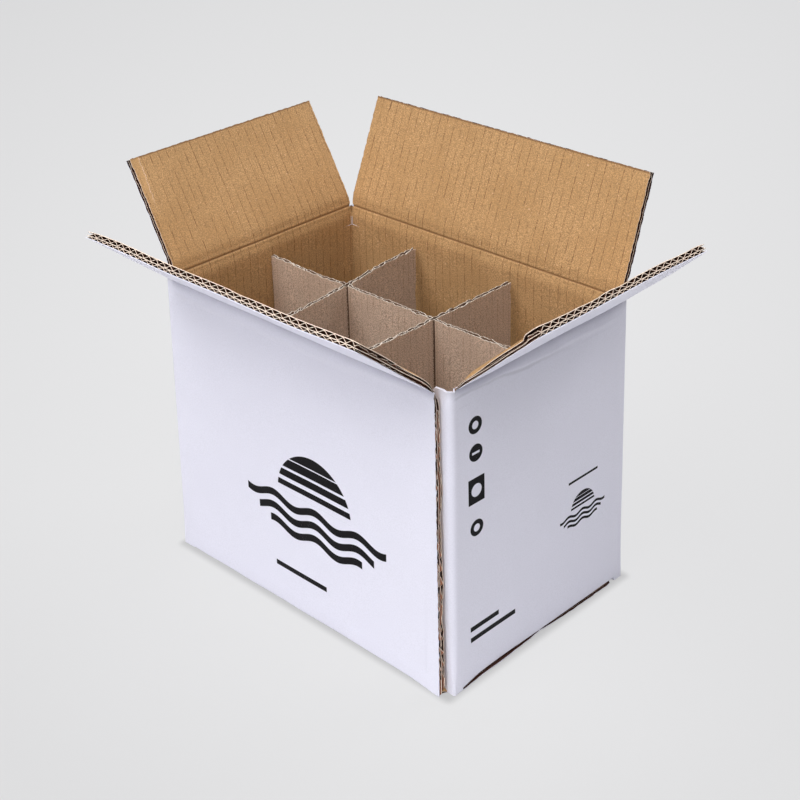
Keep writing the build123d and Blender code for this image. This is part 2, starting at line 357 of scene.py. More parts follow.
class Wall:
    """One wall and its flap.

    Across runs to the right as seen from outside, and along runs up the flutes from the crease.
    """

    def __init__(self, scene, side, outward, seed):
        self.case, self.wear = scene.box_case, scene.box_wear
        case, flaps, board = scene.box_case, scene.box_flaps, scene.box_board
        self.side = side
        self.seed = seed
        self.node, self.body = "flap_" + side, side + "_flap"
        self.outward = np.array(outward, float)
        self.right = np.cross(UP, self.outward)
        self.is_long = side in ("front", "back")
        halves = case.length / 2, case.width / 2
        self.half, middle_out = halves if self.is_long else halves[::-1]
        self.rim = middle_out - case.rim_draw
        spreads = {"right": case.right_spread, "left": case.left_spread}
        self.foot = middle_out + spreads.get(side, case.long_spread)
        self.skew, self.slant = (case.skew, case.raw_slant) if side == "front" else (0.0, 0.0)
        self.dome = case.long_dome if self.is_long else case.end_dome
        self.crease = case.crease
        self.slope = math.atan2(self.foot - self.rim, self.crease)
        self.lean = getattr(flaps, side)
        self.reach, self.height, self.splay = flaps.reach, flaps.height, flaps.splay
        self.half_board = board_thickness(board) / 2
        low, high = (np.array(corner) @ self.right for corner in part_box(self.node))
        self.first, self.last = min(low, high), max(low, high)

    def distance(self, level):
        """How far the outer face stands from the middle of the box, straight from rim to foot."""
        return self.rim + (self.foot - self.rim) * (1.0 - level / self.crease)

    def swell(self, across, level):
        """Outward bulge of the wall: a low dome, unevenness away from the corners, and the skew.

        The dome is dome * (1 - (across / half)^2) * sin(pi * height), and the skew grows with the
        square of the way along the wall and with the depth below the crease.
        """
        inset = np.clip(1.0 - np.square(across / self.half), 0.0, 1.0)
        height = np.clip(level / self.crease, 0.0, 1.0)
        dome = self.dome * inset * np.sin(np.pi * height)
        calm = smooth_ramp((self.half - np.abs(across)) / (25 * MM))
        skew = self.skew * np.square((across + self.half) / (2 * self.half)) * (1.0 - height)
        waves = self.wear.unevenness * calm * ripple(across, level, 90 * MM, self.seed)
        return dome + skew + waves

    def drift(self, across, level):
        """How far the wall's raw end runs out over its last 12 mm.

        It is the slant at the floor and falls evenly to the negative of that at the crease.
        """
        near_end = smooth_ramp((across - self.last + 12 * MM) / (12 * MM))
        return self.slant * (1.0 - 2.0 * np.clip(level / self.crease, 0.0, 1.0)) * near_end

    def pinch(self, across, along):
        """The white liner drawn in at the crease.

        It slopes in over the last 5.5 mm below the crease and comes out again within 2 mm above.
        Below, a buckle rises over 5 mm and falls over 2.4 mm. Its crest is further down away from
        the glued corner. Depth and place vary a little along the crease.
        """
        calm = smooth_ramp((self.half - np.abs(across)) / (10 * MM))
        uneven = 1.0 + 0.22 * ripple(across, 0.0, 38 * MM, self.seed + 1)
        below = -along + 0.7 * MM * ripple(across, 0.0, 45 * MM, self.seed + 2)
        slope = np.clip(1.0 - below / (5.5 * MM), 0.0, 1.0)
        slope = np.where(along > 0, bell(along / (1.8 * MM)), slope)
        from_corner = self.half + (across if self.side == "right" else -across)
        crest = BUCKLE_NEAR + BUCKLE_DROP * smooth_ramp(from_corner / BUCKLE_RUN)
        rise, fall = 5 * MM, 2.4 * MM
        buckle = smooth_ramp((below - crest + rise) / rise) - smooth_ramp((below - crest) / fall)
        return calm * uneven * (self.wear.buckle * buckle - self.wear.draw * slope)

    def sole(self, across):
        """How far an end wall's lower fold stands off the floor.

        It is nearly level between a long ramp at the front corner and a steep one at the back.
        """
        y = across * self.right[1]
        front, back = -96 * MM, 99 * MM
        ends = smooth_ramp((y - front) / (32 * MM)) * smooth_ramp((back - y) / (9 * MM))
        sag = 1.0 - 0.2 * smooth_ramp(y / (60 * MM))
        return self.case.corner_lift + self.case.end_lift * ends * sag

    def place(self, out, across, level):
        """Points from a distance outwards, a place along the wall and a height."""
        out, across, level = np.broadcast_arrays(out, across, level)
        return self.spread_toe(
            out[..., None] * self.outward + across[..., None] * self.right + level[..., None] * UP
        )

    def spread_toe(self, points):
        """Moves what is near the glued corner's foot outwards.

        The move is toe * bell(distance in plan / 24 mm) * (1 - level / 55 mm)^2, along the
        diagonal.
        """
        corner = np.array([self.case.length / 2, -self.case.width / 2])
        gap = np.linalg.norm(points[..., :2] - corner, axis=-1)
        height = np.clip(1.0 - points[..., 2] / (55 * MM), 0.0, 1.0)
        move = self.case.toe * bell(gap / (24 * MM)) * np.square(height)
        return points + move[..., None] * np.array([1.0, -1.0, 0.0]) * math.sqrt(0.5)

    def fold(self, across, along, depth):
        """Board coordinates carried over the crease.

        Below the crease the sheet follows the wall, and then it turns about the crease by the lean
        times the smooth ramp of along from -reach to +reach, keeping its distance from the crease.
        depth is measured outwards from the middle of the board.
        """
        bent = smooth_ramp((along + self.reach) / (2 * self.reach))
        turn = -self.slope + (self.lean + self.slope) * bent
        level = np.minimum(self.crease + along, self.crease)
        settle = 1.0 - smooth_ramp(along / (30 * MM))
        warp = self.wear.warp * ripple(across, along, 150 * MM, self.seed + 3)
        depth = depth + settle * self.swell(across, level) + smooth_ramp(along / (60 * MM)) * warp
        across = across + self.drift(across, level) * (1.0 - smooth_ramp(along / (16 * MM)))
        out = self.rim - self.half_board + depth * np.cos(turn) + along * np.sin(turn)
        return self.place(out, across, self.crease - depth * np.sin(turn) + along * np.cos(turn))


def make_walls(scene):
    """The four walls, with the length of sheet that leads up to the middle of each."""
    sides = (
        ("right", (1, 0, 0)), ("back", (0, 1, 0)), ("left", (-1, 0, 0)), ("front", (0, -1, 0))
    )
    walls = {}
    run = 0.0
    for number, (side, outward) in enumerate(sides):
        wall = Wall(scene, side, outward, 10 * number + 5)
        run += wall.half
        wall.run = run
        run += wall.half
        walls[side] = wall
    return walls


def board_parts(board):
    return (
        board.outer_liner, board.small_rise, board.middle_liner, board.large_rise,
        board.inner_liner,
    )


def board_thickness(board):
    return sum(board_parts(board))


def double_wall(board):
    """Sheets of the case board: kind, outer level, inner level, pitch and material numbers.

    The material numbers are those of CASE_PAPERS: white, brown, plain brown, fluting, cut edge.
    """
    levels = [board_thickness(board) / 2]
    for part in board_parts(board):
        levels.append(levels[-1] - part)
    kinds = (
        ("liner", 0.0, (0, 2, 0)), ("flute", board.small_pitch, (3, 3, 4)),
        ("liner", 0.0, (2, 2, 4)), ("flute", board.large_pitch, (3, 3, 4)),
        ("liner", 0.0, (2, 1, 4)),
    )
    return [
        (kind, high, low, pitch, slots)
        for (kind, pitch, slots), high, low in zip(kinds, levels, levels[1:])
    ]


def rough_cut(along, amount, seed):
    """Unevenness of a cut edge: waves 7 mm long with half-high waves of 2.4 mm on them."""
    return amount * (
        ripple(along, 0.0, 7 * MM, seed) + 0.5 * ripple(along, 0.0, 2.4 * MM, seed + 1)
    )


def add_board(piece, place, sheets, span, along, web, ragged, ends, run, seed, keep=None, cuts=(),
              step=2.0 * MM, torn=1.0, whole_below=-1.0, first_number=0, start=None, facets=8):
    """Adds corrugated board, sheet by sheet.

    A liner is a flat sheet between two levels. A fluted sheet lies at
    middle + swing * asin(0.93 sin(phase)) / asin(0.93), a wave with nearly straight flanks, and its
    phase wanders a little. ends says how far the fluted sheets stop short of either end, or None
    where the board goes on. The ends are even below whole_below, and torn scales how uneven the
    last row is. place(across, along, depth, sheet number) gives the points, and keep says which
    cells exist, from the middle of each. The board's own second coordinate is along, or where
    start is given, start - along. Liners have a row of points every step, and each flute has as
    many as facets says.
    """
    straightness, wandering = 0.93, 0.16
    first, last = span
    for number, (kind, high, low, pitch, slots) in enumerate(sheets, first_number):
        if kind == "liner":
            across = merged(spaced(first, last, step), np.array(cuts))
        else:
            low_end, high_end = first + (ends[0] or 0.0), last - (ends[1] or 0.0)
            across = merged(spaced(low_end, high_end, pitch / facets), np.array(cuts))
            across = across[(across > low_end - 1e-9) & (across < high_end + 1e-9)]
        u, v = (grid.copy() for grid in np.meshgrid(across, along, indexing="ij"))
        middle_u, middle_v = ((grid[:-1, :-1] + grid[1:, 1:]) / 2 for grid in (u, v))
        cells = None if keep is None else keep(middle_u, middle_v)
        fringe = (1.0 if kind == "liner" else 2.5) * smooth_ramp((v[0] - whole_below) / (4 * MM))
        if ends[0] is not None:
            u[0] -= fringe * rough_cut(v[0], ragged, seed + number)
        if ends[1] is not None:
            u[-1] += fringe * rough_cut(v[-1], ragged, seed + 20 + number)
        v[:, -1] += torn * rough_cut(u[:, -1], ragged, seed + 40 + number)
        if kind == "liner":
            top, bottom = np.full(u.shape, high), np.full(u.shape, low)
        else:
            phase = (u + run) / pitch + wandering * ripple(u, v, 55 * MM, seed + 60 + number)
            wave = np.arcsin(straightness * np.sin(phase * TAU)) / math.asin(straightness)
            middle = (high + low) / 2 + wave * ((high - low - web) / 2)
            top, bottom = middle + web / 2, middle - web / 2
        uv = np.stack([u + run, v if start is None else start - v], -1)
        piece.add_sheet(place(u, v, top, number), place(u, v, bottom, number), uv, slots, cells)


# Shader tools

class Signal:
    """One output socket in a node tree that can be added, scaled and compared like a number."""

    def __init__(self, tree, socket):
        self.tree = tree
        self.socket = socket

    def math(self, operation, *others):
        node = self.tree.nodes.new("ShaderNodeMath")
        node.operation = operation
        for slot, value in enumerate((self, *others)):
            plug(self.tree, value, node.inputs[slot])
        return Signal(self.tree, node.outputs[0])

    __add__ = partialmethod(math, "ADD")
    __sub__ = partialmethod(math, "SUBTRACT")
    __mul__ = partialmethod(math, "MULTIPLY")
    __truediv__ = partialmethod(math, "DIVIDE")
    __abs__ = partialmethod(math, "ABSOLUTE")
    floor = partialmethod(math, "FLOOR")
    smallest = partialmethod(math, "MINIMUM")
    flip = partialmethod(math, "MULTIPLY_ADD", -1.0, 1.0)  # 1 - x

    def largest(self, *others):
        result = self
        for other in others:
            result = result.math("MAXIMUM", other)
        return result

    def ramp(self, low, high):
        """Smooth step from 0 at low to 1 at high."""
        node = self.tree.nodes.new("ShaderNodeMapRange")
        node.interpolation_type = "SMOOTHSTEP"
        for name, value in (("Value", self), ("From Min", low), ("From Max", high)):
            plug(self.tree, value, node.inputs[name])
        return Signal(self.tree, node.outputs["Result"])


def plug(tree, value, socket):
    """Wires a Signal to a socket, or sets the socket to a plain value."""
    if isinstance(value, Signal):
        tree.links.new(value.socket, socket)
    else:
        socket.default_value = value


def new_node(tree, kind, output=0, **inputs):
    """Adds a node, sets or wires its inputs by name and returns one output as a Signal."""
    node = tree.nodes.new(kind)
    for name, value in inputs.items():
        plug(tree, value, node.inputs[name])
    return Signal(tree, node.outputs[output])


def noise(tree, vector, scale, detail=2.0, roughness=0.5):
    return new_node(
        tree, "ShaderNodeTexNoise", Vector=vector, Scale=scale, Detail=detail, Roughness=roughness
    )


def mixed(tree, factor, first, second):
    """first where factor is 0, second where it is 1."""
    node = tree.nodes.new("ShaderNodeMix")
    node.data_type = "RGBA"
    plug(tree, factor, node.inputs["Factor"])
    plug(tree, first, node.inputs[6])
    plug(tree, second, node.inputs[7])
    return Signal(tree, node.outputs[2])


def combine(tree, x, y, z=0.0):
    return new_node(tree, "ShaderNodeCombineXYZ", X=x, Y=y, Z=z)


def split(tree, vector):
    """The first two coordinates of a vector."""
    outputs = new_node(tree, "ShaderNodeSeparateXYZ", Vector=vector).socket.node.outputs
    return Signal(tree, outputs["X"]), Signal(tree, outputs["Y"])


def length_of(x, y):
    """sqrt(x^2 + y^2)"""
    return (x * x + y * y).math("SQRT")


def new_group(name, inputs, outputs):
    """An empty shader group: the tree, its inputs as Signals by name, and its end node."""
    tree = bpy.data.node_groups.new(name, "ShaderNodeTree")
    for label, kind in inputs:
        tree.interface.new_socket(label, in_out="INPUT", socket_type="NodeSocket" + kind)
    for label, kind in outputs:
        tree.interface.new_socket(label, in_out="OUTPUT", socket_type="NodeSocket" + kind)
    start = tree.nodes.new("NodeGroupInput")
    end = tree.nodes.new("NodeGroupOutput")
    return tree, {label: Signal(tree, start.outputs[label]) for label, _ in inputs}, end


def use_group(tree, group, **inputs):
    """Places a group in a tree. Returns its outputs by name."""
    node = tree.nodes.new("ShaderNodeGroup")
    node.node_tree = group
    for name, value in inputs.items():
        plug(tree, value, node.inputs[name])
    return {socket.name: Signal(tree, socket) for socket in node.outputs}


def paper_group():
    """Cloudy tone, fine fibres and specks of uncoated paper, from a position in metres."""
    masks = ("Cloud", "Fibre", "Dark specks", "Light specks", "Height")
    group, given, end = new_group(
        "Paper fibres", (("Position", "Vector"), ("Seed", "Float")),
        [(mask, "Float") for mask in masks],
    )
    shifted = group.nodes.new("ShaderNodeVectorMath")
    plug(group, given["Position"], shifted.inputs[0])
    plug(group, combine(group, given["Seed"], given["Seed"]), shifted.inputs[1])
    place = Signal(group, shifted.outputs[0])
    cloud = noise(group, place, 30.0, 2.0)
    fibre = noise(group, place, 1150.0, 1.0, 0.7)
    fleck = noise(group, place, 1150.0, 1.0)
    patch = noise(group, place, 210.0, 1.0) * 0.25
    values = (
        cloud.ramp(0.3, 0.7), fibre.ramp(0.36, 0.64), (fleck.flip() + patch).ramp(0.83, 0.9),
        (fleck + patch).ramp(0.86, 0.92), fibre * 0.6 + fleck * 0.4,
    )
    for mask, value in zip(masks, values):
        plug(group, value, end.inputs[mask])
    return group


def flute_group():
    """Pressed lines that the flutes leave on a liner.

    Lines stand one pitch apart along u. Noise along v breaks each into long runs, gives it more or
    less weight, and breaks it into short stitches, and all three differ from line to line.
    """
    group, given, end = new_group(
        "Flute lines",
        (("Position", "Vector"), ("Pitch", "Float"), ("Width", "Float"), ("Seed", "Float")),
        (("Line", "Float"), ("Wave", "Float")),
    )
    u, v = split(group, given["Position"])

    def streaks(u_value, v_scale):
        return noise(group, combine(group, u_value, v * v_scale, given["Seed"]), 1.0, 1.0)

    turns = u / given["Pitch"] + streaks(u * 9.0, 12.0) * 0.16
    number = (turns + 0.5).floor()
    offset = abs(turns - number) * given["Pitch"]
    line = offset.ramp(given["Width"] * 0.3, given["Width"]).flip()
    runs = streaks(number * 0.5, 70.0).ramp(0.37, 0.46)
    weight = streaks(number * 5.31, 40.0).ramp(0.3, 0.7) * 0.55 + 0.45
    stitches = streaks(number * 3.17, 420.0).ramp(0.4, 0.52) * 0.7 + 0.3
    plug(group, line * runs * weight * stitches, end.inputs["Line"])
    plug(group, (turns * TAU).math("COSINE"), end.inputs["Wave"])
    return group


def new_material(name):
    """A material: its tree, its Principled shader, and its object and board positions."""
    material = bpy.data.materials.new(name)
    material.use_nodes = True
    tree = material.node_tree
    places = tree.nodes.new("ShaderNodeTexCoord").outputs
    shader = tree.nodes["Principled BSDF"]
    return tree, shader, Signal(tree, places["Object"]), Signal(tree, places["UV"])


def shade(tone, scale=1.0):
    """A tone times scale, kept below white, as a socket takes it."""
    return (*(min(1.0, channel * scale) for channel in tone[:3]), 1.0)


def box_mask(x, y, centre, half, soft=0.12 * MM):
    """1 inside an upright rectangle."""
    wide, high = abs(x - centre[0]) - half[0], abs(y - centre[1]) - half[1]
    return wide.largest(high).ramp(-soft, soft).flip()


def disc_mask(x, y, centre, radius, soft=0.12 * MM):
    """1 inside a circle."""
    return (length_of(x - centre[0], y - centre[1]) - radius).ramp(-soft, soft).flip()


def emblem(x, y, centre, radius):
    """A half disc cut by narrowing gaps, above three wave lines.

    In units of the radius, a gap opens every 0.25 upwards where the rest of up / 0.25 is below
    0.56 - 0.6 up, and wave n keeps within 0.08 of its level + 0.08 cos(across * TAU / 1.15).
    """
    across, up = (x - centre[0]) / radius, (y - centre[1]) / radius
    soft = 0.15 * MM / radius
    disc = (length_of(across, up) - 1.0).ramp(-soft, soft).flip()
    step = up / 0.25
    gap = step - step.floor() + up * 0.6 - 0.56
    mask = disc * up.ramp(-soft, soft) * gap.ramp(-4 * soft, 4 * soft)
    wave = (across * (TAU / 1.15)).math("COSINE") * 0.08
    for number in range(3):
        half = 1.9 - 0.32 * number
        line = (abs(up - wave + 0.24 + 0.29 * number) - 0.08).ramp(-soft, soft).flip()
        mask = mask.largest(line * (abs(across) - half).ramp(-soft, soft).flip())
    return mask


def print_group(walls):
    """Printed marks on the front and the right wall, from the board's own coordinates.

    The front wall has an emblem with a short bar below. The right wall has four small plain shapes
    above one another, two bars near the foot, and a small emblem with a bar above.
    """
    group, given, end = new_group("Printed marks", (("Position", "Vector"),), (("Mask", "Float"),))
    run, along = split(group, given["Position"])

    def printed(mask, wall, x, y, size):
        """A mask on one wall, with centre and size in millimetres."""
        size = [length * MM for length in size] if isinstance(size, tuple) else size * MM
        return mask(run - walls[wall].run, along, (x * MM, y * MM), size)

    def small(mask, y, size):
        return printed(mask, "right", -68, y, size)

    marks = [
        printed(emblem, "front", 14, -137, 39),
        printed(box_mask, "front", -4, -206, (28, 2.2)),
        small(disc_mask, -34, 6.5) * small(disc_mask, -34, 3).flip(),
        small(disc_mask, -55, 6.5) * small(box_mask, -55, (3.6, 0.9)).flip(),
        small(box_mask, -84, (8, 10)) * small(disc_mask, -84, 5).flip(),
        small(disc_mask, -114, 6.5) * small(disc_mask, -114, 3).flip(),
        printed(box_mask, "right", -61, -196, (15, 2)),
        printed(box_mask, "right", -52, -205, (24, 2)),
        printed(emblem, "right", 49, -152, 14),
        printed(box_mask, "right", 49, -126, (17, 1)),
    ]
    plug(group, marks[0].largest(*marks[1:]), end.inputs["Mask"])
    return group


class Paper:
    """A paper's material: grain from its position, and a base colour laid on in turns."""

    def __init__(self, name, groups, seed, tone, clouded, cloud=1.0):
        self.tree, self.shader, position, self.board = new_material(name)
        self.groups = groups
        self.grain = self.use("paper", Position=position, Seed=seed)
        self.run, self.along = split(self.tree, self.board)
        self.base = shade(tone)
        self.lay(self.grain["Cloud"] * cloud, clouded)

    def use(self, group, **inputs):
        return use_group(self.tree, self.groups[group], **inputs)

    def flutes(self, pitch, seed):
        width = 0.5 * MM
        return self.use("flutes", Position=self.board, Pitch=pitch, Width=width, Seed=seed)

    def lay(self, factor, tone, scale=1.0):
        """Covers the base with a tone times scale, as far as factor says."""
        self.base = mixed(self.tree, factor, self.base, shade(tone, scale))

    def finish(self, roughness, specular, height, depth=1.0 * MM, strength=0.8):
        """Wires up the shader, with a relief of height times depth."""
        tree, sockets = self.tree, self.shader.inputs
        plug(tree, self.base, sockets["Base Color"])
        plug(tree, roughness, sockets["Roughness"])
        sockets["Specular IOR Level"].default_value = specular
        relief = new_node(tree, "ShaderNodeBump", Height=height, Distance=depth, Strength=strength)
        tree.links.new(relief.socket, sockets["Normal"])


def white_paper(finish, groups, pitch, right):
    """Coated white liner: faint clouds, very faint flutes, painted crease shade, and the print.

    Shade is painted into its colour: a dark line at a crease, a band below it and a faint wash
    further down where the flap shades the wall, and a line along the right wall's buckle, which
    runs down from the crease as in Wall.pinch.
    """
    paper = Paper("white_liner", groups, 1.7, finish.white, shade(finish.white, 0.965), 0.5)
    cloud, along, across = paper.grain["Cloud"], paper.along, paper.run - right.run
    paper.lay(paper.grain["Fibre"].flip(), finish.white, 0.95)
    paper.lay(paper.grain["Dark specks"] * 0.1, finish.white, 0.6)
    # painted shade: a line along the buckle's underside, a dark line at the crease, a band below it
    # and a faint wash further down where the flap shades the wall
    crest = (across + right.half).ramp(0.0, BUCKLE_RUN) * BUCKLE_DROP + BUCKLE_NEAR + 1 * MM
    buckle = abs(along + crest + cloud * 2.5 * MM).ramp(0.2 * MM, 2.2 * MM).flip()
    buckle = buckle * (across + 10 * MM).ramp(0.0, 60 * MM).flip()
    buckle = buckle * (across + right.half).ramp(0.0, 6 * MM)
    line = abs(along).ramp(0.3 * MM, 1.1 * MM).flip()
    under = along.ramp(-0.3 * MM, 0.8 * MM).flip()
    near, far = along.ramp(-9 * MM, -1 * MM) * under, along.ramp(-70 * MM, 0.0) * under
    paper.lay((line * 0.3).largest(near * 0.2, buckle * 0.18) + far * 0.05, finish.white, 0.12)
    marks = paper.use("print", Position=paper.board)
    paper.lay(marks["Mask"] * (paper.grain["Light specks"] * 0.15).flip(), finish.ink)
    wave = paper.flutes(pitch, 4.0)["Wave"]
    height = wave * 0.012 + paper.grain["Height"] * 0.02 + cloud * 0.05
    paper.finish(cloud * 0.08 + 0.42, 0.1, height, strength=0.6)


def brown_paper(finish, groups, pitch, walls):
    """Uncoated brown liner with pressed flute lines, clouds, fibres and specks.

    Shade is painted as dark lines along a crease and a free edge, and as a dark slit for a nick in
    the back flap's free edge. A torn line runs down the left flap, 8 mm from its front end.
    """
    paper = Paper("brown_liner", groups, 0.3, finish.kraft, finish.kraft_dark)
    grain, run, along = paper.grain, paper.run, paper.along
    back, left = walls["back"], walls["left"]
    paper.lay(grain["Fibre"].flip(), finish.kraft, 0.6)
    paper.lay(grain["Dark specks"] * 0.5, finish.lines_and_painted_shade)
    paper.lay(grain["Light specks"] * 0.5, finish.cut)
    # painted shade: dark lines at the crease and along the free edge, and a dark slit for the nick
    crease = abs(along).ramp(0.2 * MM, 0.9 * MM).flip() * (grain["Fibre"] * 0.35 + 0.5)
    rim = (along - back.height).ramp(-1.6 * MM, -0.7 * MM) * 0.7
    nick_place = (back.run + back.last - 16 * MM, back.height - 4 * MM)
    nick = box_mask(run, along, nick_place, (0.5 * MM, 4.5 * MM), 0.2 * MM) * 0.8
    flutes = paper.flutes(pitch, 1.0)
    paper.lay((flutes["Line"] * 0.9).largest(crease, rim, nick), finish.lines_and_painted_shade)
    tree = paper.tree
    wobble = noise(tree, combine(tree, along * 190.0, 5.0), 1.0, 4.0, 0.75) * (5 * MM)
    side = run + wobble + along * 0.06 - (left.run + left.last + 0.5 * MM)
    on_left = (abs(run - left.run) - left.half).ramp(0.0, 0.1 * MM).flip()
    lower = along.ramp(48 * MM, 66 * MM) * on_left
    paper.lay(side.ramp(0.0, 0.3 * MM) * lower * 0.3, finish.kraft)
    torn = abs(side).ramp(0.1 * MM, 0.45 * MM).flip() * lower * (grain["Fibre"] * 0.5 + 0.2)
    paper.lay(torn, finish.cut)
    height = flutes["Wave"] * 0.05 + grain["Height"] * 0.07 + flutes["Line"] * -0.12
    paper.finish(0.82, 0.25, height)


def grey_paper(finish, groups, pitch):
    """Recycled grey-brown liner of the partition, with faint pressed lines and mixed fibres.

    Shade is painted on a cross divider where it passes through the long one's slot, at run = 0.
    """
    paper = Paper("divider_liner", groups, 7.1, finish.grey, finish.grey_dark)
    grain, flutes = paper.grain, paper.flutes(pitch, 9.0)
    paper.lay(grain["Fibre"].ramp(0.2, 0.8).flip(), finish.grey, 0.6)
    paper.lay(grain["Dark specks"] * 0.6, finish.lines_and_painted_shade)
    paper.lay(grain["Light specks"] * 0.6, finish.torn)
    paper.lay(flutes["Line"] * 0.45, finish.lines_and_painted_shade)
    # painted shade: the gap in the slot, darkened into the colour
    slot = (abs(paper.run) + grain["Fibre"] * 0.9 * MM).ramp(2.1 * MM, 2.9 * MM).flip()
    paper.lay(slot * 0.75, finish.lines_and_painted_shade, 0.5)
    paper.finish(0.88, 0.2, flutes["Wave"] * 0.04 + grain["Height"] * 0.12)


def plain_paper(name, finish, groups, tone, seed, roughness=0.85, depth=0.1 * MM, painted_shade_from=None):
    """Uncoated paper without lines, as seen between the sheets and on cut edges.

    Above a given height it is darkened with painted shade, where one looks into a flap's open
    flutes.
    """
    paper = Paper(name, groups, seed, tone, shade(tone, 0.8), 0.6)
    paper.lay(paper.grain["Fibre"] * 0.4, tone, 1.25)
    paper.lay(paper.grain["Dark specks"] * 0.5, finish.lines_and_painted_shade)
    # painted shade: darker deep in the open flutes near a flap's free edge
    if painted_shade_from:
        paper.lay(paper.along.ramp(painted_shade_from, painted_shade_from + 4 * MM), tone, 0.35)
    paper.finish(roughness, 0.2, paper.grain["Height"], depth)


# The order in which sheets number their papers
CASE_PAPERS = ("white_liner", "brown_liner", "plain_brown", "fluting", "cut_edge")
DIVIDER_PAPERS = ("divider_liner", "divider_fluting", "divider_torn_edge")


def papers(names):
    """The named materials, which Make Papers has to have made."""
    found = [bpy.data.materials.get(name) for name in names]
    if None in found:
        raise RuntimeError("Make Papers has to run first")
    return found


class MakePapers(bpy.types.Operator):
    """Makes the papers and the print"""

    bl_idname = "shipping_box.make_papers"
    bl_label = "Make Papers"

    def execute(self, context):
        scene = context.scene
        finish, board = scene.box_finish, scene.box_board
        walls = make_walls(scene)
        # height above which painted shade darkens the open flutes
        painted_shade_from = walls["back"].height - 9 * MM
        groups = {"paper": paper_group(), "flutes": flute_group(), "print": print_group(walls)}
        white_paper(finish, groups, board.small_pitch, walls["right"])
        brown_paper(finish, groups, board.large_pitch, walls)
        grey_paper(finish, groups, scene.box_partition.pitch)
        for name, tone, seed, more in (
            ("plain_brown", finish.inside, 2.2, {"painted_shade_from": painted_shade_from}),
            ("fluting", finish.fluting, 3.3, {"painted_shade_from": painted_shade_from}),
            ("cut_edge", finish.cut, 4.4, {"roughness": 0.9, "depth": 0.25 * MM}),
            ("divider_fluting", finish.grey_inside, 5.5, {}),
            ("divider_torn_edge", finish.torn, 6.6, {"roughness": 0.9, "depth": 0.3 * MM}),
        ):
            plain_paper(name, finish, groups, tone, seed, **more)
        return {"FINISHED"}


def case_columns(case, walls, thickness):
    """The upright lines of the case's sheet, from the glued tab round to the raw edge.

    Each row is (x, x share, x curl, y, y share, y curl, run, radius): a point lies at
    x + share * (half length - inset) - curl * radius, and the same for y.
    """
    right, back, left, front = (walls[side] for side in ("right", "back", "left", "front"))
    rows = []

    def straight(wall, first, last, run, set_back=0.0):
        for across in spaced(first, last, 8 * MM):
            x, y, _ = across * wall.right - set_back * wall.outward
            rows.append((x, wall.outward[0], 0.0, y, wall.outward[1], 0.0, run + across, 1.0))

    def corner(x_sign, y_sign, start, run, radius, set_back=0.0):
        for part in np.linspace(0.0, 1.0, 9):
            turn = start + part * TAU / 4
            curl_x = x_sign * (1 - abs(math.cos(turn)))
            curl_y = y_sign * (1 - abs(math.sin(turn)))
            place = run + (part - 0.5) * radius * TAU / 4
            rows.append((0.0, x_sign, curl_x, -y_sign * set_back, y_sign, curl_y, place, radius))

    behind = thickness + 0.15 * MM
    tab_end = right.rim - thickness - case.tab_width
    straight(front, tab_end, right.rim - case.near_corner - 1.5 * MM, -right.rim, behind)
    corner(1, -1, -TAU / 4, right.run - right.half, case.near_corner, behind)
    straight(right, right.first, right.last, right.run)
    corner(1, 1, 0.0, right.run + right.half, case.corner)
    straight(back, back.first, back.last, back.run)
    corner(-1, 1, TAU / 4, back.run + back.half, case.corner)
    straight(left, left.first, left.last, left.run)
    corner(-1, -1, TAU / 2, left.run + left.half, case.corner)
    straight(front, front.first, front.last - case.raw_strip, front.run)
    return np.array(rows)


